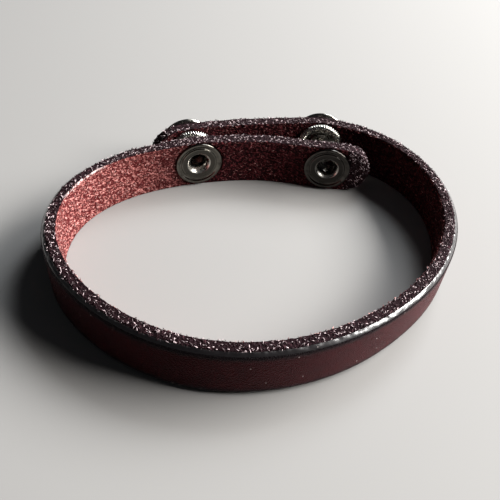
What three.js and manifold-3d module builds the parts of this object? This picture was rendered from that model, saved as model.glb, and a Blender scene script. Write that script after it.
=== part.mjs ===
// Leather snap bracelet: one long strap standing on its edge. Its two ends lap at the back and
// carry two snap fasteners. The left one is closed and the right one has come undone.
import * as THREE from 'three';
import { mergeVertices } from 'three/addons/utils/BufferGeometryUtils.js';
import Module from 'manifold-3d';

const wasm = await Module();
wasm.setup();

// Strap, in millimetres
const STRAP_WIDTH = 9.5;
const LEATHER = 2.5;
const LOOP_RADIUS = 32;
const GRAIN_SHOULDER = 1.0;
const FLESH_CORNER = 0.25;

// Where the snaps stand along the strap
const CLOSED_SNAP_WRAP = -237;
const INNER_SNAP_SPACING = 26.4;
const OUTER_SNAP_SPACING = 27.2;
const INNER_END_MARGIN = 8.1;
const OUTER_END_MARGIN = 7.4;

// Fits between the pieces
const CLEARANCE = 0.2;
const PRESS = 0.3;
const RIM_GAP = 0.35;

// Cap: domed disc outside the outer layer, with a hollow post whose end is rolled out
const CAP_DIAMETER = 10.2;
const CAP_RIM = 0.9;
const CAP_CROWN = 0.8;
const POST_DIAMETER = 3;
const POST_BORE = 2;
const POST_HEAD_DIAMETER = 4.4;
const POST_HEAD = 0.25;

// Socket: round-shouldered ring inside the outer layer
const SOCKET_DIAMETER = 9.1;
const SOCKET_HEIGHT = 1.6;
const SOCKET_FLOOR = 0.35;
const SOCKET_MOUTH = 6;

// Stud: flange and hollow knob outside the inner layer
const STUD_DIAMETER = 8.8;
const STUD_FLANGE = 0.4;
const KNOB_DIAMETER = 5.4;
const KNOB_NECK = 0.2;

// Eyelet: dished flange inside the inner layer, with a hollow shank up into the knob
const EYELET_DIAMETER = 9.1;
const EYELET_RIM = 0.7;
const EYELET_DISH = 0.35;
const EYELET_RIM_WIDTH = 0.8;
const EYELET_BORE = 3;
const EYELET_MOUTH = 4.3;
const SHANK_WALL = 0.35;

// Fineness of the curved surfaces
const SECTION_STEP = 2;
const END_SECTIONS = 8;
const SHOULDER_STEPS = 3;
const ROUND_SIDES = 32;
const DIVISIONS_PER_ROW = 40;
const BISECTION_TURNS = 40;
const MERGE_DISTANCE = 1e-5;

// How far the cutting tools reach past the leather's faces
const TOOL_REACH = 1.2;

// Sizes that follow from the ones above
const KNOB_HEIGHT = SOCKET_HEIGHT + RIM_GAP - SOCKET_FLOOR - POST_HEAD - 2 * CLEARANCE;
const LAYER_GAP = 2 * (CLEARANCE - PRESS) + SOCKET_HEIGHT + RIM_GAP + STUD_FLANGE;
const LAYER_PITCH = LEATHER + LAYER_GAP;
const SEAT = LEATHER / 2 - PRESS;
const SNAP_CENTRE = Math.max(CAP_DIAMETER, STRAP_WIDTH) / 2;
const SHANK_DIAMETER = EYELET_BORE + 2 * SHANK_WALL;

// Rows along the strap's mid line, from just past its outer end to just past its inner end.
// wrap: degrees about the loop's middle, from the right and anticlockwise seen from above
// reach: distance from the middle as a share of LOOP_RADIUS
// lift: how far the row stands outside that, in layer pitches
// lean: how far the top edge is set outwards from the bottom edge, as a share of STRAP_WIDTH
const STATIONS = [
  { wrap: 141, reach: 0.798, lift: 1.04, lean: 0.00 },
  { wrap: 130, reach: 0.739, lift: 1.07, lean: 0.00 },
  { wrap: 120, reach: 0.712, lift: 1.12, lean: 0.00 },
  { wrap: 110, reach: 0.699, lift: 1.18, lean: 0.00 },
  { wrap: 100, reach: 0.697, lift: 1.23, lean: 0.00 },
  { wrap: 90, reach: 0.705, lift: 1.34, lean: 0.00 },
  { wrap: 80, reach: 0.721, lift: 1.58, lean: 0.00 },
  { wrap: 70, reach: 0.742, lift: 1.90, lean: 0.00 },
  { wrap: 60, reach: 0.785, lift: 2.07, lean: 0.00 },
  { wrap: 50, reach: 0.888, lift: 1.70, lean: -0.02 },
  { wrap: 40, reach: 0.968, lift: 1.30, lean: -0.04 },
  { wrap: 30, reach: 1.024, lift: 0.90, lean: -0.05 },
  { wrap: 20, reach: 1.058, lift: 0.50, lean: -0.03 },
  { wrap: 8, reach: 1.059, lift: 0.20, lean: 0.00 },
  { wrap: -6, reach: 1.028, lift: 0.00, lean: 0.04 },
  { wrap: -22, reach: 0.966, lift: 0.00, lean: 0.07 },
  { wrap: -40, reach: 0.917, lift: 0.00, lean: 0.06 },
  { wrap: -60, reach: 0.905, lift: 0.00, lean: 0.03 },
  { wrap: -80, reach: 0.921, lift: 0.00, lean: 0.01 },
  { wrap: -100, reach: 0.956, lift: 0.00, lean: 0.00 },
  { wrap: -120, reach: 0.994, lift: 0.00, lean: 0.00 },
  { wrap: -140, reach: 1.035, lift: 0.00, lean: 0.01 },
  { wrap: -155, reach: 1.064, lift: 0.00, lean: 0.04 },
  { wrap: -170, reach: 1.066, lift: 0.00, lean: 0.06 },
  { wrap: -185, reach: 1.026, lift: 0.00, lean: 0.06 },
  { wrap: -200, reach: 0.936, lift: 0.00, lean: 0.05 },
  { wrap: -215, reach: 0.832, lift: 0.00, lean: 0.02 },
  { wrap: -226, reach: 0.768, lift: 0.00, lean: 0.00 },
  { wrap: -237, reach: 0.727, lift: 0.00, lean: 0.00 },
  { wrap: -249, reach: 0.702, lift: 0.00, lean: 0.00 },
  { wrap: -261, reach: 0.698, lift: 0.00, lean: 0.00 },
  { wrap: -275, reach: 0.711, lift: 0.00, lean: 0.00 },
  { wrap: -290, reach: 0.742, lift: 0.00, lean: 0.00 },
  { wrap: -300, reach: 0.790, lift: 0.00, lean: 0.00 },
  { wrap: -309, reach: 0.882, lift: 0.00, lean: 0.00 },
  { wrap: -319, reach: 1.056, lift: 0.00, lean: 0.00 },
];

const UP = new THREE.Vector3(0, 0, 1);

// The mid line in plan. Its third coordinate carries the lean in millimetres.
function makeMidline() {
  const points = STATIONS.map((row) => {
    const angle = THREE.MathUtils.degToRad(row.wrap);
    const reach = row.reach * LOOP_RADIUS + row.lift * LAYER_PITCH;
    return new THREE.Vector3(reach * Math.cos(angle), reach * Math.sin(angle), row.lean * STRAP_WIDTH);
  });
  const curve = new THREE.CatmullRomCurve3(points, false, 'centripetal');
  curve.arcLengthDivisions = DIVISIONS_PER_ROW * (points.length - 1);
  return curve;
}

const midline = makeMidline();
const midlineLength = midline.getLength();

// Place, direction and outward side of the strap at a distance along the mid line, which runs
// straight on past the table's first and last rows
function strapFrame(distance) {
  const onTable = THREE.MathUtils.clamp(distance, 0, midlineLength);
  const share = onTable / midlineLength;
  const point = midline.getPointAt(share);
  const along = midline.getTangentAt(share).setZ(0).normalize();
  const outward = new THREE.Vector3().crossVectors(UP, along);
  const lean = point.z;
  point.z = 0;
  point.addScaledVector(along, distance - onTable);
  return { point, along, outward, lean };
}

// The distance along the mid line at a wrap angle, which may lie between two rows
function distanceAtWrap(wrap) {
  const next = STATIONS.findIndex((station) => station.wrap <= wrap);
  const before = STATIONS[next - 1].wrap;
  const after = STATIONS[next].wrap;
  const row = next - (wrap - after) / (before - after);
  return midline.getLengths()[Math.round(row * DIVISIONS_PER_ROW)];
}

// The distance along the outer layer where the axis of a snap in the inner layer meets it
function distanceOverAxis(inner) {
  let near = -OUTER_SNAP_SPACING;
  let far = OUTER_SNAP_SPACING + OUTER_END_MARGIN;
  for (let turn = 0; turn < BISECTION_TURNS; turn += 1) {
    const middle = (near + far) / 2;
    const ahead = strapFrame(middle).point.sub(inner.point).dot(inner.along);
    if (ahead < 0) {
      near = middle;
    } else {
      far = middle;
    }
  }
  return (near + far) / 2;
}

const innerClosed = distanceAtWrap(CLOSED_SNAP_WRAP);
const innerOpen = innerClosed + INNER_SNAP_SPACING;
const innerEnd = innerOpen + INNER_END_MARGIN;
const closedFrame = strapFrame(innerClosed);
const outerClosed = distanceOverAxis(closedFrame);
const outerOpen = outerClosed + OUTER_SNAP_SPACING;
const outerEnd = outerClosed - OUTER_END_MARGIN;

// The snap halves in the outer layer share the closed snap's axis or stand square to the strap
const snapSeats = {
  closed_inner: { origin: closedFrame.point, axis: closedFrame.outward },
  closed_outer: { origin: strapFrame(outerClosed).point, axis: closedFrame.outward },
  open_inner: squareSeat(innerOpen),
  open_outer: squareSeat(outerOpen),
};

function squareSeat(distance) {
  const frame = strapFrame(distance);
  return { origin: frame.point, axis: frame.outward };
}

// Distances of the sections: even along the strap, and closer on its two round ends
function sectionDistances() {
  const radius = STRAP_WIDTH / 2;
  const distances = [];
  for (let step = 1; step <= END_SECTIONS; step += 1) {
    const turn = (step / END_SECTIONS) * (Math.PI / 2);
    distances.push(outerEnd + radius * (1 - Math.cos(turn)));
  }
  const plainLength = innerEnd - outerEnd - STRAP_WIDTH;
  const plainSteps = Math.round(plainLength / SECTION_STEP);
  for (let step = 1; step < plainSteps; step += 1) {
    distances.push(outerEnd + radius + (step / plainSteps) * plainLength);
  }
  for (let step = END_SECTIONS; step >= 1; step -= 1) {
    const turn = (step / END_SECTIONS) * (Math.PI / 2);
    distances.push(innerEnd - radius * (1 - Math.cos(turn)));
  }
  return distances;
}

function halfHeightAt(distance) {
  const radius = STRAP_WIDTH / 2;
  const fromEnd = Math.min(distance - outerEnd, innerEnd - distance);
  if (fromEnd >= radius) {
    return radius;
  }
  return Math.sqrt(radius ** 2 - (radius - fromEnd) ** 2);
}

// One section as [out, height] pairs: small corners on the flesh side, round shoulders on the grain
function sectionOutline(halfHeight) {
  const half = LEATHER / 2;
  const corner = Math.min(FLESH_CORNER, halfHeight / 3);
  const shoulder = Math.min(GRAIN_SHOULDER, halfHeight / 2, LEATHER - 2 * FLESH_CORNER);
  const outline = [
    [-half + corner, -halfHeight],
    [-half, -halfHeight + corner],
    [-half, halfHeight - corner],
    [-half + corner, halfHeight],
  ];
  for (let step = 0; step <= SHOULDER_STEPS; step += 1) {
    const turn = (step / SHOULDER_STEPS) * (Math.PI / 2);
    outline.push([half - shoulder * (1 - Math.sin(turn)), halfHeight - shoulder * (1 - Math.cos(turn))]);
  }
  for (let step = SHOULDER_STEPS; step >= 0; step -= 1) {
    const turn = (step / SHOULDER_STEPS) * (Math.PI / 2);
    outline.push([half - shoulder * (1 - Math.sin(turn)), -halfHeight + shoulder * (1 - Math.cos(turn))]);
  }
  return outline;
}

function strapBlank() {
  const rings = sectionDistances().map((distance) => {
    const frame = strapFrame(distance);
    return sectionOutline(halfHeightAt(distance)).map(([out, height]) => {
      const reach = out + (frame.lean * height) / STRAP_WIDTH;
      const point = frame.point.clone().addScaledVector(frame.outward, reach);
      point.z = STRAP_WIDTH / 2 + height;
      return point;
    });
  });
  const sides = rings[0].length;
  const positions = rings.flat().flatMap((point) => point.toArray());
  const faces = [];
  for (let ring = 0; ring + 1 < rings.length; ring += 1) {
    for (let side = 0; side < sides; side += 1) {
      const a = ring * sides + side;
      const b = ring * sides + ((side + 1) % sides);
      faces.push(a, a + sides, b, b, a + sides, b + sides);
    }
  }
  const last = (rings.length - 1) * sides;
  for (let side = 1; side + 1 < sides; side += 1) {
    faces.push(0, side, side + 1);
    faces.push(last, last + side + 1, last + side);
  }
  const geometry = new THREE.BufferGeometry();
  geometry.setAttribute('position', new THREE.Float32BufferAttribute(positions, 3));
  geometry.setIndex(faces);
  return geometry;
}

// A solid of turning about its own Z axis from [radius, height] pairs
function turned(profile) {
  const points = profile.map(([radius, height]) => new THREE.Vector2(radius, height));
  return new THREE.LatheGeometry(points, ROUND_SIDES).rotateX(Math.PI / 2);
}

// A turned ring with a hole: the profile closes on itself
function turnedRing(profile) {
  return turned([...profile, profile[0]]);
}

function quarterRound(radius, height, size, from) {
  const points = [];
  for (let step = 0; step <= SHOULDER_STEPS; step += 1) {
    const turn = from + (step / SHOULDER_STEPS) * (Math.PI / 2);
    points.push([radius + size * Math.cos(turn), height + size * Math.sin(turn)]);
  }
  return points;
}

// Every snap piece is drawn with the leather's middle at zero height and its own side above
function capGeometry() {
  const rim = CAP_DIAMETER / 2;
  const base = SEAT + CLEARANCE;
  const inward = SEAT + SOCKET_FLOOR + 2 * CLEARANCE;
  const bore = POST_BORE / 2;
  const post = POST_DIAMETER / 2;
  const head = POST_HEAD_DIAMETER / 2;
  const dome = [];
  for (let step = 0; step <= SHOULDER_STEPS; step += 1) {
    const share = 1 - step / SHOULDER_STEPS;
    const radius = (rim - CAP_RIM / 2) * share;
    dome.push([radius, base + CAP_RIM + CAP_CROWN * (1 - share ** 2)]);
  }
  return turned([
    [0, base],
    [bore, base],
    [bore, -inward - POST_HEAD],
    [head, -inward - POST_HEAD],
    [head, -inward],
    [post, -inward],
    [post, base],
    [rim - CAP_RIM / 2, base],
    [rim, base + CAP_RIM / 2],
    ...dome,
  ]);
}

function socketGeometry() {
  const outer = SOCKET_DIAMETER / 2;
  const mouth = SOCKET_MOUTH / 2;
  const hole = POST_DIAMETER / 2 + CLEARANCE;
  const base = SEAT + CLEARANCE;
  const top = base + SOCKET_HEIGHT;
  const shoulder = (outer - mouth) / 2;
  return turnedRing([
    [hole, base],
    [outer, base],
    ...quarterRound(outer - shoulder, top - shoulder, shoulder, 0),
    ...quarterRound(mouth + shoulder, top - shoulder, shoulder, Math.PI / 2).slice(1),
    [mouth, base + SOCKET_FLOOR],
    [hole, base + SOCKET_FLOOR],
  ]);
}

function studGeometry() {
  const outer = STUD_DIAMETER / 2;
  const knob = KNOB_DIAMETER / 2;
  const hole = SHANK_DIAMETER / 2 + CLEARANCE;
  const base = SEAT + CLEARANCE;
  const flange = base + STUD_FLANGE;
  const top = flange + KNOB_HEIGHT;
  return turnedRing([
    [hole, base],
    [outer, base],
    [outer, flange],
    [knob, flange],
    [knob - KNOB_NECK, flange + KNOB_HEIGHT / 3],
    [knob, top - KNOB_HEIGHT / 3],
    [knob - KNOB_NECK, top],
    [hole, top],
  ]);
}

function eyeletGeometry() {
  const outer = EYELET_DIAMETER / 2;
  const inner = outer - EYELET_RIM_WIDTH;
  const bore = EYELET_BORE / 2;
  const mouth = EYELET_MOUTH / 2;
  const shank = SHANK_DIAMETER / 2;
  const base = SEAT + CLEARANCE;
  const rim = base + EYELET_RIM;
  const dish = base + EYELET_DISH;
  const shankEnd = SEAT + STUD_FLANGE + KNOB_HEIGHT;
  return turnedRing([
    [bore, -shankEnd],
    [shank, -shankEnd],
    [shank, base],
    [outer - EYELET_RIM / 4, base],
    [outer, base + EYELET_RIM / 2],
    [outer - EYELET_RIM_WIDTH / 4, rim],
    [outer - EYELET_RIM_WIDTH / 2, rim],
    [inner, dish],
    [mouth, dish],
    [bore, base],
  ]);
}

// Turning that lays a piece's own Z axis along the snap's axis, or against it for inner sides
function seatTurn(axis, side) {
  const facing = axis.clone().multiplyScalar(side);
  const across = new THREE.Vector3().crossVectors(UP, facing);
  return new THREE.Matrix4().makeBasis(across, UP, facing);
}

function seatMatrix(seat, side) {
  const matrix = seatTurn(seat.axis, side);
  return matrix.setPosition(seat.origin.x, seat.origin.y, SNAP_CENTRE);
}

// Solids for joining and cutting
function toSolid(geometry) {
  const bare = geometry.clone();
  bare.deleteAttribute('normal');
  bare.deleteAttribute('uv');
  const merged = mergeVertices(bare, MERGE_DISTANCE);
  const mesh = new wasm.Mesh({
    numProp: 3,
    vertProperties: new Float32Array(merged.attributes.position.array),
    triVerts: new Uint32Array(merged.index.array),
  });
  return new wasm.Manifold(mesh);
}

function toGeometry(solid) {
  const mesh = solid.getMesh();
  const geometry = new THREE.BufferGeometry();
  geometry.setAttribute('position', new THREE.BufferAttribute(mesh.vertProperties, 3));
  geometry.setIndex(new THREE.BufferAttribute(mesh.triVerts, 1));
  return geometry;
}

function cutTool(seat, side, radius, from, to) {
  const profile = [[0, from], [radius, from], [radius, to], [0, to]];
  return toSolid(turned(profile).applyMatrix4(seatMatrix(seat, side)));
}

// The holes for the posts and the shallow seats that the flanges press into the leather
function strapGeometry() {
  let solid = toSolid(strapBlank());
  const half = LEATHER / 2;
  const cuts = [
    { seat: snapSeats.closed_outer, hole: POST_DIAMETER, outside: CAP_DIAMETER, inside: SOCKET_DIAMETER },
    { seat: snapSeats.open_outer, hole: POST_DIAMETER, outside: CAP_DIAMETER, inside: SOCKET_DIAMETER },
    { seat: snapSeats.closed_inner, hole: SHANK_DIAMETER, outside: STUD_DIAMETER, inside: EYELET_DIAMETER },
    { seat: snapSeats.open_inner, hole: SHANK_DIAMETER, outside: STUD_DIAMETER, inside: EYELET_DIAMETER },
  ];
  for (const { seat, hole, outside, inside } of cuts) {
    const top = half + TOOL_REACH;
    solid = solid.subtract(cutTool(seat, 1, hole / 2 + CLEARANCE, -top, top));
    solid = solid.subtract(cutTool(seat, 1, outside / 2 + CLEARANCE, SEAT, top));
    solid = solid.subtract(cutTool(seat, -1, inside / 2 + CLEARANCE, SEAT, top));
  }
  return toGeometry(solid);
}

const leather = new THREE.MeshStandardMaterial({ color: 0x4a1418, roughness: 0.55, metalness: 0 });
const nickel = new THREE.MeshStandardMaterial({ color: 0x9a958c, roughness: 0.3, metalness: 1 });

function piece(name, geometry, material) {
  const mesh = new THREE.Mesh(geometry, material);
  mesh.name = name;
  return mesh;
}

function seated(name, geometry, seat, side) {
  const mesh = piece(name, geometry, nickel.clone());
  mesh.applyMatrix4(seatMatrix(seat, side));
  return mesh;
}

function snap(which) {
  const outer = snapSeats[`${which}_outer`];
  const inner = snapSeats[`${which}_inner`];
  const group = new THREE.Group();
  group.add(
    seated(`${which}_snap_cap`, capGeometry(), outer, 1),
    seated(`${which}_snap_socket`, socketGeometry(), outer, -1),
    seated(`${which}_snap_stud`, studGeometry(), inner, 1),
    seated(`${which}_snap_eyelet`, eyeletGeometry(), inner, -1),
  );
  return group;
}

// The origin is the middle of the whole bracelet's box, on the surface that it stands on
function makeBracelet() {
  const loop = new THREE.Group();
  loop.add(piece('strap', strapGeometry(), leather), snap('closed'), snap('open'));
  loop.updateMatrixWorld(true);
  const middle = new THREE.Box3().setFromObject(loop, true).getCenter(new THREE.Vector3());
  loop.position.set(-middle.x, -middle.y, 0);
  const bracelet = new THREE.Group();
  bracelet.add(loop);
  return bracelet;
}

export default makeBracelet();
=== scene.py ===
# Leather snap bracelet: the looks of the strap and its two ring snaps, in metres, +Z up
import math

import bmesh
import bpy
import numpy as np
from mathutils import Matrix, Vector


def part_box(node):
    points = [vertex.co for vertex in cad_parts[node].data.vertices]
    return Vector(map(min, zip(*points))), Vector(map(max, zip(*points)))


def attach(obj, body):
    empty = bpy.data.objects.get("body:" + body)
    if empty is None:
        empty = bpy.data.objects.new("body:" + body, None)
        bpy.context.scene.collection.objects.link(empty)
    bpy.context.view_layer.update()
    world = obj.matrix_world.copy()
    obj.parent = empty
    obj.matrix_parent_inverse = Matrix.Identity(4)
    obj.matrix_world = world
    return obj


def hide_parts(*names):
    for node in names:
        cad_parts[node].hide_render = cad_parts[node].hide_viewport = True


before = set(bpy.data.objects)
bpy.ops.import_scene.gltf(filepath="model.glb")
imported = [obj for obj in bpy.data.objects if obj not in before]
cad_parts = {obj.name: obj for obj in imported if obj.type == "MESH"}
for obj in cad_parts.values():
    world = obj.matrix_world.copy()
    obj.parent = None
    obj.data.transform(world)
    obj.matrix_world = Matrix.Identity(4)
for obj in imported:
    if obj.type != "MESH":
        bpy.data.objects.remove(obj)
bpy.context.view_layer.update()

MM = 0.001

# Strap, with how far its ends reach past the middles of the snaps beside them
STRAP_WIDTH = 9.5 * MM
LEATHER = 2.5 * MM
LOOP_RADIUS = 32 * MM
LAYER_PITCH = 4.65 * MM
OUTER_END_MARGIN = 7.4 * MM
INNER_END_MARGIN = 8.1 * MM

# Corners of the strap, with the grain's shoulder sharper for LAP_LENGTH from each end
GRAIN_SHOULDER = 1.0 * MM
LAP_SHOULDER = 0.30 * MM
LAP_LENGTH = 36 * MM
LAP_BLEND = 22 * MM
SHOULDER_FLATNESS = 0.6
FLESH_CORNER = 0.2 * MM

# Along the strap: painted shade on the flesh side from both ends, the inner end frayed, the upper
# corner torn at a place measured from the inner end, and painted shade on the grain towards the inner
# end
FLESH_SHADE_OUTER_END = 95 * MM
FLESH_SHADE_INNER_END = 50 * MM
FLESH_SHADE_BLEND = 18 * MM
FRAYED_END = 5.2 * MM
FRAYED_BLEND = 1.6 * MM
TORN_PLACE = 59 * MM
TORN_LENGTH = 14 * MM
TORN_BLEND = 4 * MM
GRAIN_SHADE_LENGTH = 160 * MM
GRAIN_SHADE_BLEND = 52 * MM

# How the metal sits on the leather, measured from the leather's middle
PRESS = 0.3 * MM
CLEARANCE = 0.2 * MM
BASE = LEATHER / 2 - PRESS + CLEARANCE
CONTACT = 0.01 * MM
PRESS_SLOPE = 1.1
SWELL = 0.30 * MM
SWELL_REACH = 4.2 * MM

# Snap pieces. DOME_ROWS are shares of the cap's radius
CAP_RADIUS = 5.1 * MM
CAP_RIM = 0.9 * MM
CAP_CROWN = 0.8 * MM
DOME_ROWS = (0.93, 0.8, 0.6, 0.4, 0.2)
POST_RADIUS = 1.5 * MM
POST_BORE = 1.0 * MM
POST_HEAD_RADIUS = 2.2 * MM
POST_HEAD = 0.25 * MM
SOCKET_RADIUS = 4.55 * MM
SOCKET_HEIGHT = 1.6 * MM
SOCKET_FLOOR = 0.35 * MM
SOCKET_MOUTH = 3.0 * MM
STUD_RADIUS = 4.4 * MM
STUD_FLANGE = 0.4 * MM
KNOB_RADIUS = 2.7 * MM
KNOB_HEIGHT = 0.95 * MM
KNOB_NECK = 0.2 * MM
EYELET_RADIUS = 4.55 * MM
EYELET_RIM = 0.7 * MM
EYELET_BORE = 1.5 * MM
EYELET_MOUTH = 2.15 * MM
EYELET_STEP = 3.4 * MM
EYELET_FUNNEL = 1.3 * MM
SHANK_RADIUS = 1.85 * MM
FLUTES = 56
FLUTE_DEPTH = 0.11 * MM

# Fineness of the meshes
MESH_STEP = 0.27 * MM
PATH_STEP = 0.25 * MM
PATH_SMOOTHING = 2.5 * MM
FLESH_RINGS = 17
CORNER_RINGS = 4
CUT_RINGS = 6
SHOULDER_RINGS = 8
GRAIN_RINGS = 11
LATHE_SIDES = 96
SIDES_PER_FLUTE = 6
FILLET_STEPS = 6
FILLET_REACH = 0.49
TINY = 0.001 * MM

# Zones run from 0 on the flesh over 1 on the cut edge to 2 on the grain. Metal inside the loop
# presses what lies below FLESH_SIDE, metal outside it what lies above GRAIN_SIDE. The other two are
# where the waxed shoulder and the grain get their finish
FLESH_SIDE = 0.9
GRAIN_SIDE = 1.3
SHOULDER_ZONE = 1.2
GRAIN_ZONE = 1.7

# Relief of the leather: noise cells in a millimetre along, up and through the strap, seed, and
# height in millimetres. The cut edges are also sunk, and their relief fades over CUT_SPREAD zones.
# In a band over the resting edge nothing stands up, and the hollows get shallower downwards
STROKES = ((0.9, 2.2, 2.2), 11, 0.14)
TUFTS = ((1.6, 1.6, 1.6), 29, 0.12)
CUT_FIBRES = ((1.9, 2.4, 1.5), 47, 0.19)
SWAY = ((0.10, 0.16, 0.16), 71, 0.03)
CUT_SINK = 0.08
CUT_SPREAD = 0.9
RESTING_BAND = 0.6 * MM
RESTING_EASE = 0.6
NOISE_LAYERS = 3

# Loose fibres: how many, their size, how much darker the inside ones are where shade is painted, the
# slant of the strokes that they leave in the leather, and the seed that they are drawn from
FLESH_FIBRES = 7000
EDGE_FIBRES = 5000
FIBRE_LENGTH = 0.48 * MM
FIBRE_RADIUS = 0.075 * MM
FIBRE_SHADE = 0.38
FIBRE_SLANT = 0.45
FIBRE_SEED = 5

# Camera, in the part's frame
CAMERA_PLACE = (-0.707 * MM, -92.6 * MM, 85.265 * MM)
CAMERA_TILT = math.radians(47.17)
CAMERA_ROLL = math.radians(5.19)
CAMERA_LENS = 50
CAMERA_SENSOR = 36
CAMERA_NEAR = 5 * MM

# Lights: name, azimuth and elevation in degrees, distance, width, height, power and colour
LIGHTS = (
    ("key", 14, 34, 0.60, 0.56, 0.26, 10.8, (1.0, 0.98, 0.96)),
    ("strip", 60, 40, 0.70, 0.22, 0.35, 3.6, (0.92, 0.96, 1.0)),
)
STUDIO_COLOR = (0.88, 0.92, 1.0, 1)
STUDIO_STRENGTH = 0.025

# Floor
FLOOR_HALF = 1.2
FLOOR_COLOR = (0.345, 0.338, 0.328, 1)
FLOOR_ROUGHNESS = 0.85

# The strap's mid line, from just past its outer end to just past its inner end: wrap in degrees,
# reach as a share of LOOP_RADIUS, lift in layer pitches, lean as a share of STRAP_WIDTH
STATIONS = (
    (141, 0.798, 1.04, 0.00),
    (130, 0.739, 1.07, 0.00),
    (120, 0.712, 1.12, 0.00),
    (110, 0.699, 1.18, 0.00),
    (100, 0.697, 1.23, 0.00),
    (90, 0.705, 1.34, 0.00),
    (80, 0.721, 1.58, 0.00),
    (70, 0.742, 1.90, 0.00),
    (60, 0.785, 2.07, 0.00),
    (50, 0.888, 1.70, -0.02),
    (40, 0.968, 1.30, -0.04),
    (30, 1.024, 0.90, -0.05),
    (20, 1.058, 0.50, -0.03),
    (8, 1.059, 0.20, 0.00),
    (-6, 1.028, 0.00, 0.04),
    (-22, 0.966, 0.00, 0.07),
    (-40, 0.917, 0.00, 0.06),
    (-60, 0.905, 0.00, 0.03),
    (-80, 0.921, 0.00, 0.01),
    (-100, 0.956, 0.00, 0.00),
    (-120, 0.994, 0.00, 0.00),
    (-140, 1.035, 0.00, 0.01),
    (-155, 1.064, 0.00, 0.04),
    (-170, 1.066, 0.00, 0.06),
    (-185, 1.026, 0.00, 0.06),
    (-200, 0.936, 0.00, 0.05),
    (-215, 0.832, 0.00, 0.02),
    (-226, 0.768, 0.00, 0.00),
    (-237, 0.727, 0.00, 0.00),
    (-249, 0.702, 0.00, 0.00),
    (-261, 0.698, 0.00, 0.00),
    (-275, 0.711, 0.00, 0.00),
    (-290, 0.742, 0.00, 0.00),
    (-300, 0.790, 0.00, 0.00),
    (-309, 0.882, 0.00, 0.00),
    (-319, 1.056, 0.00, 0.00),
)

# Shares of the mid line in which the snaps' places are looked for, in the lap's two layers
OUTER_LAYER = (0.0, 0.4)
INNER_LAYER = (0.6, 1.0)


# Camera, light and floor

def make_camera():
    data = bpy.data.cameras.new("camera")
    data.lens = CAMERA_LENS
    data.sensor_width = CAMERA_SENSOR
    data.clip_start = CAMERA_NEAR
    camera = bpy.data.objects.new("camera", data)
    turn = Matrix.Rotation(CAMERA_TILT, 4, "X") @ Matrix.Rotation(CAMERA_ROLL, 4, "Z")
    camera.matrix_world = Matrix.Translation(CAMERA_PLACE) @ turn
    bpy.context.scene.collection.objects.link(camera)
    bpy.context.scene.camera = camera


def area_light(name, azimuth, elevation, distance, width, height, power, color):
    """A flat light that faces the bracelet. Azimuth is in degrees from +X, towards +Y."""
    data = bpy.data.lights.new(name, "AREA")
    data.shape = "RECTANGLE"
    data.size = width
    data.size_y = height
    data.energy = power
    data.color = color
    light = bpy.data.objects.new(name, data)
    flat = math.cos(math.radians(elevation))
    towards = Vector((
        flat * math.cos(math.radians(azimuth)),
        flat * math.sin(math.radians(azimuth)),
        math.sin(math.radians(elevation)),
    ))
    light.location = towards * distance
    light.rotation_euler = towards.to_track_quat("Z", "Y").to_euler()
    bpy.context.scene.collection.objects.link(light)


def make_light():
    for row in LIGHTS:
        area_light(*row)
    world = bpy.data.worlds.new("studio")
    world.use_nodes = True
    background = world.node_tree.nodes["Background"]
    background.inputs["Color"].default_value = STUDIO_COLOR
    background.inputs["Strength"].default_value = STUDIO_STRENGTH
    bpy.context.scene.world = world
    bpy.context.scene.view_settings.view_transform = "Standard"


def make_floor():
    half = FLOOR_HALF
    mesh = bpy.data.meshes.new("floor")
    corners = [(-half, -half, 0), (half, -half, 0), (half, half, 0), (-half, half, 0)]
    mesh.from_pydata(corners, [], [(0, 1, 2, 3)])
    floor = bpy.data.objects.new("floor", mesh)
    bpy.context.scene.collection.objects.link(floor)
    material = bpy.data.materials.new("floor")
    material.use_nodes = True
    shader = material.node_tree.nodes["Principled BSDF"]
    shader.inputs["Base Color"].default_value = FLOOR_COLOR
    shader.inputs["Roughness"].default_value = FLOOR_ROUGHNESS
    mesh.materials.append(material)


# Noise for the shapes, with large odd numbers that scramble a cell's place, the seed and the bits

PLACE_SCRAMBLERS = np.array([374761393, 668265263, 2147483647])
SEED_SCRAMBLER = 974634777
BIT_SCRAMBLER = 1274126177
ALL_BITS = 0xFFFFFFFF
LOW_BITS = 0xFFFFFF


def lattice(cells, seed):
    """A repeatable number from 0 to 1 for each cell of whole numbers."""
    mixed = (cells.astype(np.int64) @ PLACE_SCRAMBLERS + seed * SEED_SCRAMBLER) & ALL_BITS
    mixed = ((mixed ^ (mixed >> 13)) * BIT_SCRAMBLER) & ALL_BITS
    return ((mixed ^ (mixed >> 16)) & LOW_BITS) / LOW_BITS


def value_noise(places, seed):
    """Smooth noise from -1 to 1 with cells one unit wide."""
    floor = np.floor(places)
    part = places - floor
    part = part * part * (3 - 2 * part)
    total = np.zeros(len(places))
    for corner in range(8):
        step = np.array([corner & 1, (corner >> 1) & 1, (corner >> 2) & 1])
        share = np.where(step, part, 1 - part).prod(axis=1)
        total += share * lattice(floor + step, seed)
    return total * 2 - 1


def layered_noise(places, seed):
    """Layers of noise from -1 to 1, each half as coarse and half as high as the one before."""
    total = np.zeros(len(places))
    for layer in range(NOISE_LAYERS):
        total += value_noise(places * 2 ** layer, seed + layer) / 2 ** layer
    return total / (2 - 0.5 ** (NOISE_LAYERS - 1))


def relief(places, scale, seed, height):
    return height * layered_noise(places * scale, seed)


# The strap's route

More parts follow.
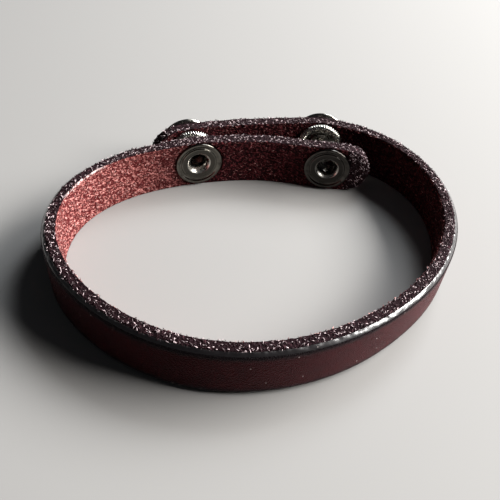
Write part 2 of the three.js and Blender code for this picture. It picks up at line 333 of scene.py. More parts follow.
def natural_spline(knots, values, places):
    """A cubic curve through the values at the knots, with even curvature at each."""
    count = len(knots)
    gap = np.diff(knots)
    matrix = np.zeros((count, count))
    right = np.zeros((count, values.shape[1]))
    matrix[0, 0] = matrix[-1, -1] = 1
    for row in range(1, count - 1):
        matrix[row, row - 1] = gap[row - 1]
        matrix[row, row] = 2 * (gap[row - 1] + gap[row])
        matrix[row, row + 1] = gap[row]
        slopes = np.diff(values[row - 1:row + 2], axis=0) / gap[row - 1:row + 1, None]
        right[row] = 6 * (slopes[1] - slopes[0])
    bend = np.linalg.solve(matrix, right)
    index = np.clip(np.searchsorted(knots, places) - 1, 0, count - 2)
    width = gap[index][:, None]
    after = (places - knots[index])[:, None] / width
    before = 1 - after
    curve = before * values[index] + after * values[index + 1]
    bends = (before ** 3 - before) * bend[index] + (after ** 3 - after) * bend[index + 1]
    return curve + bends * width ** 2 / 6


def distances_along(points):
    steps = np.linalg.norm(np.diff(points[:, :2], axis=0), axis=1)
    return np.concatenate([[0], np.cumsum(steps)])


def smoothed(points, reach):
    """The points with bumps shorter than the reach evened out and both ends carried straight on."""
    count = int(round(3 * reach / PATH_STEP))
    offsets = np.arange(-count, count + 1) * PATH_STEP
    weights = np.exp(-offsets ** 2 / (2 * reach ** 2))
    weights /= weights.sum()
    head = 2 * points[0] - points[count:0:-1]
    tail = 2 * points[-1] - points[-2:-count - 2:-1]
    padded = np.vstack([head, points, tail])
    return np.stack([np.convolve(padded[:, axis], weights, "valid") for axis in range(3)], axis=1)


class Route:
    """The strap's mid line in plan, with the lean, by distance from its outer end."""

    def __init__(self):
        rows = np.array(STATIONS, float)
        wrap = np.radians(rows[:, 0])
        reach = rows[:, 1] * LOOP_RADIUS + rows[:, 2] * LAYER_PITCH
        lean = rows[:, 3] * STRAP_WIDTH
        points = np.stack([reach * np.cos(wrap), reach * np.sin(wrap), lean], axis=1)
        knots = distances_along(points)
        places = np.arange(0, knots[-1], PATH_STEP)
        self.points = smoothed(natural_spline(knots, points, places), PATH_SMOOTHING)
        self.distances = distances_along(self.points)
        self.start = 0.0
        self.length = self.distances[-1]

    def read(self, place):
        """Points, each with its lean, at distances along the whole mid line."""
        columns = [np.interp(place, self.distances, self.points[:, axis]) for axis in range(3)]
        return np.stack(columns, axis=-1)

    def at(self, distance):
        """Point, outward side and lean at distances from the outer end."""
        place = np.asarray(distance) + self.start
        spots = self.read(place)
        along = (self.read(place + PATH_STEP) - self.read(place - PATH_STEP))[..., :2]
        along /= np.linalg.norm(along, axis=-1, keepdims=True)
        outward = np.stack([-along[..., 1], along[..., 0]], axis=-1)
        return spots[..., :2], outward, spots[..., 2]

    def nearest(self, place, layer):
        """How far along the whole mid line it passes closest to a place, in one of its layers."""
        low, high = (int(share * len(self.points)) for share in layer)
        gaps = np.linalg.norm(self.points[low:high, :2] - np.array(place)[:2], axis=1)
        return self.distances[low + int(gaps.argmin())]

    def fit_to_frame(self):
        """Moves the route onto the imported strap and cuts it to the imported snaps."""
        inside = np.arange(OUTER_END_MARGIN, self.length - INNER_END_MARGIN, PATH_STEP)
        spots, outward, _ = self.at(inside)
        faces = np.vstack([spots + outward * side for side in (-LEATHER / 2, LEATHER / 2)])
        low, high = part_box("strap")
        middle = (faces.max(axis=0) + faces.min(axis=0)) / 2
        self.points[:, 0] += (low.x + high.x) / 2 - middle[0]
        self.points[:, 1] += (low.y + high.y) / 2 - middle[1]
        outer_end = self.nearest(node_middle("closed_snap_cap"), OUTER_LAYER) - OUTER_END_MARGIN
        inner_end = self.nearest(node_middle("open_snap_eyelet"), INNER_LAYER) + INNER_END_MARGIN
        self.start = outer_end
        self.length = inner_end - outer_end


def node_middle(name):
    low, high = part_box(name)
    return (low + high) / 2


route = Route()
route.fit_to_frame()


# The snaps' seats

def seat_of(node, facing, top):
    """The seat of a node whose highest point stands that far above the leather's middle. Facing is
    1 for a piece outside the loop and -1 for one inside it."""
    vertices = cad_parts[node].data.vertices
    places = np.array([vertex.co for vertex in vertices])
    middle = np.array(node_middle(node))
    axis = np.linalg.svd(places - places.mean(axis=0), full_matrices=False)[2][2]
    if axis[:2] @ middle[:2] * facing < 0:
        axis = -axis
    axis[2] = 0
    axis /= np.linalg.norm(axis)
    reach = ((places - middle) @ axis).max()
    return middle + axis * (reach - top), axis


def kind_of(node):
    return node.rsplit("_", 1)[-1]


def from_seat(places, origin, axis):
    """How far places lie out along a seat's axis, from the leather's middle, and how far from it."""
    offset = places - origin
    depth = offset @ axis
    return depth, np.linalg.norm(offset - depth[:, None] * axis, axis=1)


SNAPS = ("closed_snap", "open_snap")
HEIGHTS = {
    "cap": CAP_RIM + CAP_CROWN,
    "socket": SOCKET_HEIGHT,
    "stud": STUD_FLANGE + KNOB_HEIGHT,
    "eyelet": EYELET_RIM,
}
RIM_RADII = {"cap": CAP_RADIUS, "socket": SOCKET_RADIUS, "stud": STUD_RADIUS, "eyelet": EYELET_RADIUS}
OUTSIDE = ("cap", "stud")
SEATS = {}
for snap in SNAPS:
    for kind, height in HEIGHTS.items():
        facing = 1 if kind in OUTSIDE else -1
        SEATS[f"{snap}_{kind}"] = seat_of(f"{snap}_{kind}", facing, BASE + height)

# Holes through the leather, laid flat: distance from the outer end, height and radius
HOLES = []
for kind, layer, post in (("cap", OUTER_LAYER, POST_RADIUS), ("stud", INNER_LAYER, SHANK_RADIUS)):
    for snap in SNAPS:
        centre = SEATS[f"{snap}_{kind}"][0]
        distance = route.nearest(centre, layer) - route.start
        HOLES.append((distance, centre[2] - STRAP_WIDTH / 2, post + CLEARANCE))


# Mesh of the strap

def smooth_step(share):
    share = np.clip(share, 0, 1)
    return share * share * (3 - 2 * share)


def past_the_lap(distance):
    """0 near both ends of the strap, where the edge is left raw, and 1 round the rest."""
    from_end = np.minimum(distance, route.length - distance)
    return smooth_step((from_end - LAP_LENGTH) / LAP_BLEND)


def edge_profile():
    """The strap's outline as rings of (part, share of it), from the flesh face's middle round the
    edge to the grain face's middle."""
    rings = [("flesh", step / FLESH_RINGS) for step in range(1, FLESH_RINGS)]
    rings += [("corner", step / CORNER_RINGS) for step in range(CORNER_RINGS + 1)]
    rings += [("cut", step / CUT_RINGS) for step in range(1, CUT_RINGS)]
    rings += [("shoulder", step / SHOULDER_RINGS) for step in range(SHOULDER_RINGS + 1)]
    rings += [("grain", step / GRAIN_RINGS) for step in range(1, GRAIN_RINGS)]
    return rings


def ring_place(part, share, distance):
    """How far in from the outline a ring lies, how far out from the leather's middle, and its zone:
    0 on the flesh, 1 on the cut edge, 2 on the grain."""
    half = LEATHER / 2
    radius = STRAP_WIDTH / 2
    burnished = past_the_lap(distance)
    shoulder = LAP_SHOULDER + (GRAIN_SHOULDER - LAP_SHOULDER) * burnished
    flat = np.zeros_like(distance)
    turn = share * math.pi / 2
    if part == "flesh":
        return flat + radius - (radius - FLESH_CORNER) * share, flat - half, flat
    if part == "corner":
        inset = FLESH_CORNER * (1 - math.sin(turn))
        return flat + inset, flat - half + FLESH_CORNER * (1 - math.cos(turn)), flat + share
    if part == "cut":
        return flat, flat - half + FLESH_CORNER + (LEATHER - FLESH_CORNER - shoulder) * share, flat + 1
    if part == "shoulder":
        inset = 1 - math.cos(turn) + (share - 1 + math.cos(turn)) * SHOULDER_FLATNESS
        drop = 1 - math.sin(turn) + (math.sin(turn) - share) * SHOULDER_FLATNESS
        return shoulder * inset, half - shoulder * drop, 1 + share ** (3 - 2 * burnished)
    return shoulder + (radius - shoulder) * share, flat + half, flat + 2


def outline_points():
    """The strap's outline laid flat: (place on the medial line, direction from it), and the medial
    line's places. The outline runs along the top, round the inner end and back along the bottom."""
    radius = STRAP_WIDTH / 2
    straight = route.length - 2 * radius
    steps = int(straight / MESH_STEP)
    turns = int(math.pi * radius / MESH_STEP)
    medial = radius + np.arange(steps + 1) / steps * straight
    points = []
    for index in range(steps + 1):
        points.append((index, 0.0, 1.0))
    for turn in range(1, turns):
        angle = turn / turns * math.pi
        points.append((steps, math.sin(angle), math.cos(angle)))
    for index in range(steps, -1, -1):
        points.append((index, 0.0, -1.0))
    for turn in range(1, turns):
        angle = turn / turns * math.pi
        points.append((0, -math.sin(angle), -math.cos(angle)))
    return medial, points


def flat_strap():
    """Vertices as (distance, height, out), a zone for each, and the faces."""
    rings = edge_profile()
    medial, outline = outline_points()
    radius = STRAP_WIDTH / 2
    around = len(outline)
    index = np.array([point[0] for point in outline])
    direction = np.array([point[1:] for point in outline])
    places = []
    zones = []
    for part, share in rings:
        inset, out, zone = ring_place(part, share, medial[index])
        reach = radius - inset
        along = medial[index] + direction[:, 0] * reach
        places.append(np.stack([along, direction[:, 1] * reach, out], axis=1))
        zones.append(zone)
    first = len(rings) * around
    second = first + len(medial)
    for out, zone in ((-LEATHER / 2, 0.0), (LEATHER / 2, 2.0)):
        places.append(np.stack([medial, np.zeros(len(medial)), np.full(len(medial), out)], axis=1))
        zones.append(np.full(len(medial), zone))
    faces = []
    for side in range(around):
        following = (side + 1) % around
        near, far = index[side], index[following]
        if near == far:
            faces.append((first + near, following, side))
        else:
            faces.append((first + near, first + far, following, side))
        for ring in range(len(rings) - 1):
            low, high = ring * around, (ring + 1) * around
            faces.append((low + side, low + following, high + following, high + side))
        last = (len(rings) - 1) * around
        if near == far:
            faces.append((second + near, last + side, last + following))
        else:
            faces.append((second + near, last + side, last + following, second + far))
    return np.vstack(places), np.concatenate(zones), faces


def without_holes(flat, faces):
    """The faces outside the holes, with the rim of each hole drawn onto its circle."""
    centres = np.array([flat[list(face)].mean(axis=0) for face in faces])
    kept = np.ones(len(faces), bool)
    for distance, height, radius in HOLES:
        gap = np.hypot(centres[:, 0] - distance, centres[:, 1] - height)
        kept &= gap > radius
    left = set()
    gone = set()
    for face, stays in zip(faces, kept):
        (left if stays else gone).update(face)
    for corner in left & gone:
        for distance, height, radius in HOLES:
            offset = flat[corner, :2] - (distance, height)
            reach = np.hypot(*offset)
            if reach < radius + 2 * MESH_STEP:
                flat[corner, :2] = np.array((distance, height)) + offset * radius / reach
    return [face for face, stays in zip(faces, kept) if stays]


def bent(flat):
    """The flat strap's (distance, height, out) as places on the bracelet. The upper edge swells a
    little at each snap, where the pressed leather is squeezed out."""
    spots, outward, lean = route.at(flat[:, 0])
    reach = flat[:, 2] + lean * flat[:, 1] / STRAP_WIDTH
    plan = spots + outward * reach[:, None]
    swell = np.zeros(len(flat))
    for distance, _, _ in HOLES:
        near_edge = smooth_step(flat[:, 1] / (STRAP_WIDTH / 2))
        swell += SWELL * np.exp(-((flat[:, 0] - distance) / SWELL_REACH) ** 2) * near_edge
    return np.column_stack([plan, STRAP_WIDTH / 2 + flat[:, 1] + swell])


def pressed(places, zones):
    """The places with the leather laid under each snap piece's rim, and rising beside it."""
    for node, (origin, axis) in SEATS.items():
        rim = RIM_RADII[kind_of(node)]
        side = zones > GRAIN_SIDE if kind_of(node) in OUTSIDE else zones < FLESH_SIDE
        depth, radial = from_seat(places, origin, axis)
        near = side & (radial < rim + LEATHER) & (np.abs(depth) < LEATHER)
        highest = BASE - CONTACT + PRESS_SLOPE * np.maximum(radial[near] - rim, 0)
        wanted = np.minimum(depth[near], highest)
        places[near] += axis * (wanted - depth[near])[:, None]
    return places


def make_mesh(name, places, faces):
    mesh = bpy.data.meshes.new(name)
    mesh.from_pydata([tuple(place) for place in places], [], faces)
    mesh.update()
    mesh.polygons.foreach_set("use_smooth", [True] * len(mesh.polygons))
    piece = bpy.data.objects.new(name, mesh)
    bpy.context.scene.collection.objects.link(piece)
    return piece


def mesh_values(elements, field, width=1, kind=np.float32):
    """One field of all of a mesh's vertices, faces or corners."""
    values = np.zeros(len(elements) * width, kind)
    elements.foreach_get(field, values)
    return values if width == 1 else values.reshape(-1, width)


def add_numbers(mesh, name, values):
    """Gives each vertex a number, under a name that the materials read."""
    layer = mesh.attributes.new(name, "FLOAT", "POINT")
    layer.data.foreach_set("value", values.astype(np.float32))


def roughened(mesh, flat, zones):
    """Raises the fibres of the flesh side and the cut edges, and leaves the grain nearly smooth."""
    normals = mesh_values(mesh.vertex_normals, "vector", 3).astype(float)
    laid = flat / MM
    slanted = laid.copy()
    slanted[:, 1] += laid[:, 0] * FIBRE_SLANT
    edge = np.clip(1 - np.abs(zones - 1.0) / CUT_SPREAD, 0, 1)
    flesh = np.clip(1 - zones, 0, 1)
    height = flesh * (relief(slanted, *STROKES) + relief(laid, *TUFTS))
    height += edge * (relief(laid, *CUT_FIBRES) - CUT_SINK)
    height += relief(laid, *SWAY)
    low = np.clip((flat[:, 1] + STRAP_WIDTH / 2) / RESTING_BAND, 0, 1)
    height = np.where(low < 1, np.minimum(height, 0) * (1 - RESTING_EASE * (1 - low)), height)
    places = mesh_values(mesh.vertices, "co", 3) + normals * (height * MM)[:, None]
    places[:, 2] = np.maximum(places[:, 2], 0.0)
    mesh.vertices.foreach_set("co", places.astype(np.float32).ravel())
    mesh.update()


def add_attributes(mesh, flat, zones):
    """The strap's own coordinates in millimetres, its zones with the inner end frayed, the distance
    in from its edge, how much shade is painted on its flesh side towards both ends, where its upper
    corner is torn, and how much shade is painted on its grain, the most towards the inner end."""
    laid = mesh.attributes.new("strap_mm", "FLOAT_VECTOR", "POINT")
    laid.data.foreach_set("vector", (flat / MM).astype(np.float32).ravel())
    from_outer = flat[:, 0]
    from_inner = route.length - flat[:, 0]
    from_edge = STRAP_WIDTH / 2 - np.abs(flat[:, 1])
    frayed = smooth_step((FRAYED_END - from_inner) / FRAYED_BLEND)
    # Painted shade on the flesh side near both ends, reaching further from the outer end
    flesh_shade = np.maximum(
        smooth_step((FLESH_SHADE_OUTER_END - from_outer) / FLESH_SHADE_BLEND),
        smooth_step((FLESH_SHADE_INNER_END - from_inner) / FLESH_SHADE_BLEND),
    )
    torn = smooth_step((TORN_LENGTH / 2 - np.abs(from_inner - TORN_PLACE)) / TORN_BLEND)
    add_numbers(mesh, "zone", np.where(zones < 1, zones + (1 - zones) * frayed, zones))
    add_numbers(mesh, "inset_mm", np.minimum(from_edge, np.minimum(from_outer, from_inner)) / MM)
    add_numbers(mesh, "flesh_shade", flesh_shade)
    add_numbers(mesh, "torn", np.where(flat[:, 1] > 0, torn, 0.0))
    # Painted shade on the grain, the most towards the inner end
    add_numbers(mesh, "grain_shade", smooth_step((GRAIN_SHADE_LENGTH - from_inner) / GRAIN_SHADE_BLEND))


def bore_holes(mesh):
    """Joins the rims of each hole on the two faces with a wall, and drops what lay inside it."""
    work = bmesh.new()
    work.from_mesh(mesh)
    rims = [edge for edge in work.edges if edge.is_boundary]
    for distance, height, radius in HOLES:
        spot = route.at(distance)[0]
        middle = Vector((*spot, STRAP_WIDTH / 2 + height))
        ring = [edge for edge in rims if (edge.verts[0].co - middle).length < radius + LEATHER]
        bmesh.ops.bridge_loops(work, edges=ring)
    loose = [vertex for vertex in work.verts if not vertex.link_faces]
    bmesh.ops.delete(work, geom=loose, context="VERTS")
    work.to_mesh(mesh)
    work.free()


# The leather's finishes, from the raw parts over the waxed shoulder to the grain: name, how deep
# the pores are, and the shader's own values
LEATHER_FINISHES = (
    ("burgundy_leather", 0.10, {"specular_ior_level": 0.12}),
    ("burgundy_shoulder", 0.02, {
        "specular_ior_level": 0.5,
        "coat_weight": 1.0,
        "coat_roughness": 0.28,
        "coat_ior": 1.9,
    }),
    ("burgundy_grain", 0.45, {
        "specular_ior_level": 0.05,
        "sheen_weight": 0.12,
        "sheen_roughness": 0.35,
        "sheen_tint": (1.0, 0.55, 0.60),
    }),
)


def make_strap():
    flat, zones, faces = flat_strap()
    faces = without_holes(flat, faces)
    places = pressed(bent(flat), zones)
    piece = make_mesh("leather_strap", places, faces)
    lowest = np.array([min(zones[corner] for corner in face) for face in faces])
    finishes = np.digitize(lowest, (SHOULDER_ZONE, GRAIN_ZONE))
    piece.data.polygons.foreach_set("material_index", finishes)
    roughened(piece.data, flat, zones)
    add_attributes(piece.data, flat, zones)
    bore_holes(piece.data)
    for name, pores, finish in LEATHER_FINISHES:
        piece.data.materials.append(leather_material(name, pores, finish))
    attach(piece, "root")
    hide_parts("strap")
    return piece


# Loose fibres on the flesh side and the cut edges

def fibre_roots(mesh, draw, count, low_zone, high_zone):
    """Random places on the strap's faces in a band of zones: place, normal and how much shade is
    painted there.
    """
    centres = mesh_values(mesh.polygons, "center", 3)
    normals = mesh_values(mesh.polygons, "normal", 3)
    areas = mesh_values(mesh.polygons, "area")
    zones = mesh_values(mesh.attributes["zone"].data, "value")
    flesh_shade = mesh_values(mesh.attributes["flesh_shade"].data, "value")
    starts = mesh_values(mesh.polygons, "loop_start", kind=np.int32)
    corners = mesh_values(mesh.loops, "vertex_index", kind=np.int32)
    zone = (zones[corners[starts]] + zones[corners[starts + 2]]) / 2
    open_to_air = (zone >= low_zone) & (zone <= high_zone) & (centres[:, 2] > FIBRE_LENGTH)
    for node, (origin, axis) in SEATS.items():
        depth, radial = from_seat(centres, origin, axis)
        open_to_air &= (radial > RIM_RADII[kind_of(node)]) | (depth < 0) | (depth > LEATHER)
    weight = areas * open_to_air
    chosen = draw.choice(len(areas), count, p=weight / weight.sum())
    spread = draw.uniform(-0.5, 0.5, (count, 3)) * MESH_STEP
    return centres[chosen] + spread, normals[chosen], flesh_shade[corners[starts[chosen]]]


def unit(vectors):
    return vectors / np.linalg.norm(vectors, axis=1, keepdims=True)


def fibre_blades(draw, roots, normals, lift):
    """Bent tapering fibres from their roots: for each, three corners at its root, three in its
    middle and its tip. Lift is the least and the most that it rises for its length."""
    count = len(roots)
    up = np.array([0.0, 0.0, 1.0])
    along = np.cross(up, unit(roots * (1, 1, 0)))
    across = np.cross(normals, along)
    lie = unit(along * draw.normal(0, 1.0, (count, 1)) + across * draw.normal(0, 0.55, (count, 1)))
    rise = draw.uniform(*lift, (count, 1))
    heading = unit(lie + normals * rise)
    bend = unit(heading + lie * draw.uniform(0, 0.9, (count, 1)) - normals * rise * 0.7)
    size = FIBRE_LENGTH * draw.uniform(0.45, 1.25, (count, 1))
    thick = FIBRE_RADIUS * draw.uniform(0.6, 1.3, (count, 1))
    side = unit(np.cross(heading, normals) + draw.normal(0, 0.01, (count, 3)))
    other = np.cross(heading, side)
    root = roots - heading * thick
    middle = roots + heading * size * 0.5
    tip = middle + bend * size * 0.5
    corners = []
    for centre, share in ((root, 1.0), (middle, 0.75)):
        for turn in range(3):
            angle = turn / 3 * math.tau
            corners.append(centre + (side * math.cos(angle) + other * math.sin(angle)) * thick * share)
    corners.append(tip)
    return np.stack(corners, axis=1)


def make_fibres(strap):
    """The loose fibres, inside and then on the cut edges. Each row says how many, in which zones,
    how much they lift, and 1 for the cut edges."""
    draw = np.random.default_rng(FIBRE_SEED)
    batches = []
    tones = []
    edges = []
    for count, zones, lift, edge in (
        (FLESH_FIBRES, (-0.1, 0.6), (0.10, 0.6), 0.0),
        (EDGE_FIBRES, (0.6, 1.2), (0.20, 0.9), 1.0),
    ):
        roots, normals, flesh_shade = fibre_roots(strap.data, draw, count, *zones)
        batches.append(fibre_blades(draw, roots, normals, lift))
        # The inside fibres are darker where shade is painted on the flesh side
        tones.append(draw.uniform(0, 1, count) * (1 - FIBRE_SHADE * (1 - edge) * flesh_shade))
        edges.append(np.full(count, edge))
    blades = np.concatenate(batches)
    fibres, corners = blades.shape[:2]
    places = blades.reshape(-1, 3)
    places[:, 2] = np.maximum(places[:, 2], 0.0)
    pattern = ((2, 1, 0), (0, 1, 4, 3), (1, 2, 5, 4), (2, 0, 3, 5), (3, 4, 6), (4, 5, 6), (5, 3, 6))
    faces = []
    for first in range(0, fibres * corners, corners):
        for face in pattern:
            faces.append(tuple(first + corner for corner in face))
    piece = make_mesh("leather_fibres", places, faces)
    add_numbers(piece.data, "tone", np.repeat(np.concatenate(tones), corners))
    add_numbers(piece.data, "on_edge", np.repeat(np.concatenate(edges), corners))
    piece.data.materials.append(fibre_material())
    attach(piece, "root")


# Metal pieces

def filleted(corners):
    """A turned profile with its corners rounded, as far as the sides beside them allow."""
    points = []
    count = len(corners)
    for index, (radius, height, fillet) in enumerate(corners):
        here = Vector((radius, height))
        before = Vector(corners[index - 1][:2])
        after = Vector(corners[(index + 1) % count][:2])
        sides = ((before - here).length * FILLET_REACH, (after - here).length * FILLET_REACH)
        reach = min(fillet, *sides)
        if reach < TINY:
            points.append((radius, height))
            continue
        start = here + (before - here).normalized() * reach
        end = here + (after - here).normalized() * reach
        for step in range(FILLET_STEPS + 1):
            share = step / FILLET_STEPS
            place = start * (1 - share) ** 2 + here * 2 * share * (1 - share) + end * share ** 2
            points.append(tuple(place))
    return points


def turned_piece(node, corners, closed, fluted):
    """A piece of turned metal in the node's seat. An open profile starts and ends on the axis."""
    origin, axis = SEATS[node]
    profile = filleted(corners)
    sides = FLUTES * SIDES_PER_FLUTE if fluted else LATHE_SIDES
    up = np.array([0.0, 0.0, 1.0])
    across = np.cross(up, axis)
    places = []
    rings = []
    radii = []
    for radius, height in profile:
        centre = origin + axis * height
        if radius < TINY:
            rings.append([len(places)])
            places.append(centre)
            radii.append(radius)
            continue
        rings.append(list(range(len(places), len(places) + sides)))
        crown = fluted and height > BASE + SOCKET_HEIGHT / 2
        for side in range(sides):
            angle = side / sides * math.tau
            flute = FLUTE_DEPTH * math.cos(FLUTES * angle) if crown else 0.0
            spoke = across * math.cos(angle) + up * math.sin(angle)
            places.append(centre + axis * flute + spoke * (radius - flute))
            radii.append(radius)
    faces = []
    pairs = list(zip(rings, rings[1:]))
    if closed:
        pairs.append((rings[-1], rings[0]))
    for low, high in pairs:
        for side in range(sides):
            following = (side + 1) % sides
            if len(low) == 1:
                faces.append((low[0], high[following], high[side]))
            elif len(high) == 1:
                faces.append((low[side], low[following], high[0]))
            else:
                faces.append((low[side], low[following], high[following], high[side]))
    piece = make_mesh(f"{node}_metal", places, faces)
    work = bmesh.new()
    work.from_mesh(piece.data)
    bmesh.ops.recalc_face_normals(work, faces=work.faces)
    work.to_mesh(piece.data)
    work.free()
    add_numbers(piece.data, "radius_mm", np.array(radii, np.float32) / MM)
    piece.data.materials.append(METAL[node if node in METAL else kind_of(node)])
    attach(piece, "root")
    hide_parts(node)


# Profiles of the metal pieces. Each corner is (radius, height, fillet)

def cap_corners():
    """A low dome with a rounded rim. The post's far end stops where the frame's does."""
    top = BASE + CAP_RIM + CAP_CROWN
    edge = BASE + 0.55 * MM
    deep = -(BASE + SOCKET_FLOOR + CLEARANCE)
    corners = [
        (0, BASE, 0),
        (POST_BORE, BASE, 0.1 * MM),
        (POST_BORE, deep - POST_HEAD, 0.1 * MM),
        (POST_HEAD_RADIUS, deep - POST_HEAD, 0.1 * MM),
        (POST_HEAD_RADIUS, deep, 0.1 * MM),
        (POST_RADIUS, deep, 0.1 * MM),
        (POST_RADIUS, BASE, 0.1 * MM),
        (CAP_RADIUS - 0.3 * MM, BASE, 0.2 * MM),
        (CAP_RADIUS, BASE + 0.3 * MM, 0.25 * MM),
        (CAP_RADIUS, edge, 0.2 * MM),
    ]
    for share in DOME_ROWS:
        height = edge + (top - edge) * math.sqrt(1 - share ** 2)
        corners.append((CAP_RADIUS * share, height, 0.5 * MM))
    corners.append((0, top, 0))
    return corners


def socket_corners():
    """A fat round ring, with a groove inside it under its lip."""
    top = BASE + SOCKET_HEIGHT
    hole = POST_RADIUS + CLEARANCE
    return [
        (hole, BASE, 0),
        (SOCKET_RADIUS - 0.7 * MM, BASE, 0.3 * MM),
        (SOCKET_RADIUS, BASE + 0.45 * MM, 0.5 * MM),
        (SOCKET_RADIUS, top - 0.4 * MM, 0.5 * MM),
        (SOCKET_RADIUS - 0.5 * MM, top, 0.4 * MM),
        (SOCKET_MOUTH + 0.45 * MM, top - 0.1 * MM, 0.4 * MM),
        (SOCKET_MOUTH + 0.1 * MM, BASE + 0.95 * MM, 0.2 * MM),
        (SOCKET_MOUTH + 0.3 * MM, BASE + 0.65 * MM, 0.2 * MM),
        (SOCKET_MOUTH, BASE + SOCKET_FLOOR, 0.2 * MM),
        (hole, BASE + SOCKET_FLOOR, 0.1 * MM),
    ]


def stud_corners():
    flange = BASE + STUD_FLANGE
    top = flange + KNOB_HEIGHT
    hole = SHANK_RADIUS + CLEARANCE
    return [
        (hole, BASE, 0),
        (STUD_RADIUS, BASE, 0.15 * MM),
        (STUD_RADIUS, flange, 0.2 * MM),
        (KNOB_RADIUS + 0.25 * MM, flange, 0.2 * MM),
        (KNOB_RADIUS - KNOB_NECK, flange + KNOB_HEIGHT / 3, 0.2 * MM),
        (KNOB_RADIUS, top - KNOB_HEIGHT / 3, 0.2 * MM),
        (KNOB_RADIUS - KNOB_NECK, top, 0.3 * MM),
        (hole, top, 0.25 * MM),
    ]


def eyelet_corners():
    """A thin rolled rim, a valley, a raised step, a matte dish and a funnel into the bore."""
    rim = BASE + EYELET_RIM
    deep = -(BASE + STUD_FLANGE + KNOB_HEIGHT - CLEARANCE)
    return [
        (EYELET_BORE, deep, 0),
        (SHANK_RADIUS, deep, 0.1 * MM),
        (SHANK_RADIUS, BASE, 0),
        (EYELET_RADIUS - 0.15 * MM, BASE, 0.15 * MM),
        (EYELET_RADIUS, BASE + 0.3 * MM, 0.25 * MM),
        (EYELET_RADIUS - 0.04 * MM, rim, 0.42 * MM),
        (EYELET_RADIUS - 0.48 * MM, rim - 0.02 * MM, 0.14 * MM),
        (EYELET_STEP + 0.35 * MM, rim - 0.22 * MM, 0.2 * MM),
        (EYELET_STEP + 0.1 * MM, rim - 0.26 * MM, 0.05 * MM),
        (EYELET_STEP, rim - 0.06 * MM, 0.12 * MM),
        (EYELET_STEP - 0.4 * MM, rim - 0.12 * MM, 0.2 * MM),
        (EYELET_MOUTH, rim - 0.22 * MM, 0.40 * MM),
        (EYELET_BORE + 0.05 * MM, rim - EYELET_FUNNEL, 0.15 * MM),
        (EYELET_BORE, rim - EYELET_FUNNEL - 0.4 * MM, 0.2 * MM),
    ]


PROFILES = {
    "cap": cap_corners,
    "socket": socket_corners,
    "stud": stud_corners,
    "eyelet": eyelet_corners,
}


def make_snaps():
    for snap in SNAPS:
        for kind, corners in PROFILES.items():
            turned_piece(f"{snap}_{kind}", corners(), closed=kind != "cap", fluted=kind == "socket")


# Materials

class Recipe:
    """One procedural material, with short calls for the nodes that it is made of."""

    def __init__(self, name):
        self.material = bpy.data.materials.new(name)
        self.material.use_nodes = True
        self.nodes = self.material.node_tree.nodes
        self.links = self.material.node_tree.links
        self.shader = self.nodes["Principled BSDF"]

    def attribute(self, name, output="Vector"):
        node = self.nodes.new("ShaderNodeAttribute")
        node.attribute_name = name
        return node.outputs[output]

    def place(self):
        return self.nodes.new("ShaderNodeTexCoord").outputs["Object"]

    def stretched(self, vector, scale, turn=0.0):
        node = self.nodes.new("ShaderNodeMapping")
        node.inputs["Scale"].default_value = scale
        node.inputs["Rotation"].default_value = (0, 0, turn)
        self.links.new(vector, node.inputs["Vector"])
        return node.outputs["Vector"]

    def noise(self, vector, scale, detail=3.0, roughness=0.55, distortion=0.0):
        node = self.nodes.new("ShaderNodeTexNoise")
        node.inputs["Scale"].default_value = scale
        node.inputs["Detail"].default_value = detail
        node.inputs["Roughness"].default_value = roughness
        node.inputs["Distortion"].default_value = distortion
        self.links.new(vector, node.inputs["Vector"])
        return node.outputs["Fac"]

    def cells(self, vector, scale):
        """The distance to the nearest of many scattered points."""
        node = self.nodes.new("ShaderNodeTexVoronoi")
        node.inputs["Scale"].default_value = scale
        self.links.new(vector, node.inputs["Vector"])
        return node.outputs["Distance"]

    def ranged(self, value, low, high, to_low=0.0, to_high=1.0):
        node = self.nodes.new("ShaderNodeMapRange")
        node.interpolation_type = "SMOOTHSTEP"
        for socket, number in zip(node.inputs[1:5], (low, high, to_low, to_high)):
            socket.default_value = number
        self.links.new(value, node.inputs["Value"])
        return node.outputs["Result"]

    def maths(self, kind, *values):
        node = self.nodes.new("ShaderNodeMath")
        node.operation = kind
        for socket, value in zip(node.inputs, values):
            if isinstance(value, (int, float)):
                socket.default_value = value
            else:
                self.links.new(value, socket)
        return node.outputs["Value"]

    def mixed(self, share, first, second):
        node = self.nodes.new("ShaderNodeMix")
        node.data_type = "RGBA"
        self.links.new(share, node.inputs["Factor"])
        for name, value in (("A_Color", first), ("B_Color", second)):
            socket = next(entry for entry in node.inputs if entry.identifier == name)
            if isinstance(value, tuple):
                socket.default_value = (*value, 1)
            else:
                self.links.new(value, socket)
        return next(entry for entry in node.outputs if entry.identifier == "Result_Color")

    def blended(self, share, first, second):
        """A number that goes from the first to the second."""
        change = self.maths("SUBTRACT", second, first)
        return self.maths("MULTIPLY_ADD", share, change, first)

    def bump(self, height, strength, distance):
        node = self.nodes.new("ShaderNodeBump")
        node.inputs["Strength"].default_value = strength
        node.inputs["Distance"].default_value = distance
        self.links.new(height, node.inputs["Height"])
        self.links.new(node.outputs["Normal"], self.shader.inputs["Normal"])

    def set(self, **values):
        for name, value in values.items():
            socket = self.shader.inputs[name.replace("_", " ").title().replace("Ior", "IOR")]
            if isinstance(value, (int, float)):
                socket.default_value = value
            elif isinstance(value, tuple):
                socket.default_value = (*value, 1)
            else:
                self.links.new(value, socket)
